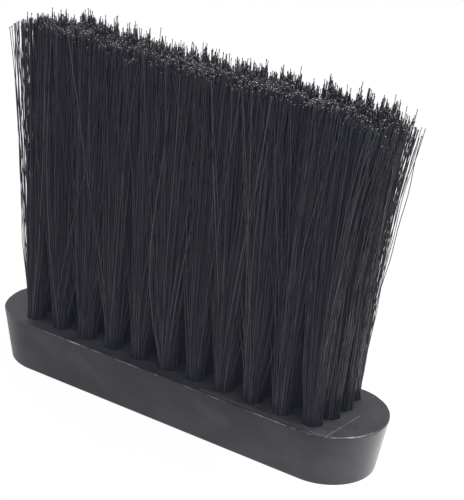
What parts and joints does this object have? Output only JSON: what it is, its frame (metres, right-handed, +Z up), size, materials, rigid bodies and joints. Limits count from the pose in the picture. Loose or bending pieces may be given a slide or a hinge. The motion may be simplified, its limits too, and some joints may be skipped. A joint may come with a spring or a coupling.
{
  "type": "brush head",
  "caption": "Oval moulded block with rows of long stiff straight bristle tufts standing up out of it, and a threaded hole for a handle in the underside.",
  "frame": {"origin": "centre of the block's flat underside", "axes": "+X along the block, +Y across it towards the row of tufts trimmed lowest, +Z up along the bristles"},
  "size_m": [0.1648, 0.0418, 0.134],
  "materials": {
    "block_plastic": "satin",
    "bristles": "satin",
    "anchor_wire": "satin",
    "insert_brass": "machined"
  },
  "bodies": {
    "root": {"block": "block_plastic", "handle_insert": "insert_brass", "tuft_1_01": "bristles", "tuft_1_02": "bristles", "tuft_1_03": "bristles", "tuft_1_04": "bristles", "tuft_1_05": "bristles", "tuft_1_06": "bristles", "tuft_1_07": "bristles", "tuft_1_08": "bristles", "tuft_1_09": "bristles", "tuft_1_10": "bristles", "tuft_1_11": "bristles", "tuft_2_01": "bristles", "tuft_2_02": "bristles", "tuft_2_03": "bristles", "tuft_2_04": "bristles", "tuft_2_05": "bristles", "tuft_2_06": "bristles", "tuft_2_07": "bristles", "tuft_2_08": "bristles", "tuft_2_09": "bristles", "tuft_2_10": "bristles", "tuft_2_11": "bristles", "tuft_3_01": "bristles", "tuft_3_02": "bristles", "tuft_3_03": "bristles", "tuft_3_04": "bristles", "tuft_3_05": "bristles", "tuft_3_06": "bristles", "tuft_3_07": "bristles", "tuft_3_08": "bristles", "tuft_3_09": "bristles", "tuft_3_10": "bristles", "tuft_3_11": "bristles", "tuft_4_01": "bristles", "tuft_4_02": "bristles", "tuft_4_03": "bristles", "tuft_4_04": "bristles", "tuft_4_05": "bristles", "tuft_4_06": "bristles", "tuft_4_07": "bristles", "tuft_4_08": "bristles", "tuft_4_09": "bristles", "tuft_4_10": "bristles", "tuft_4_11": "bristles", "tuft_anchors": "anchor_wire"}
  },
  "joints": []
}
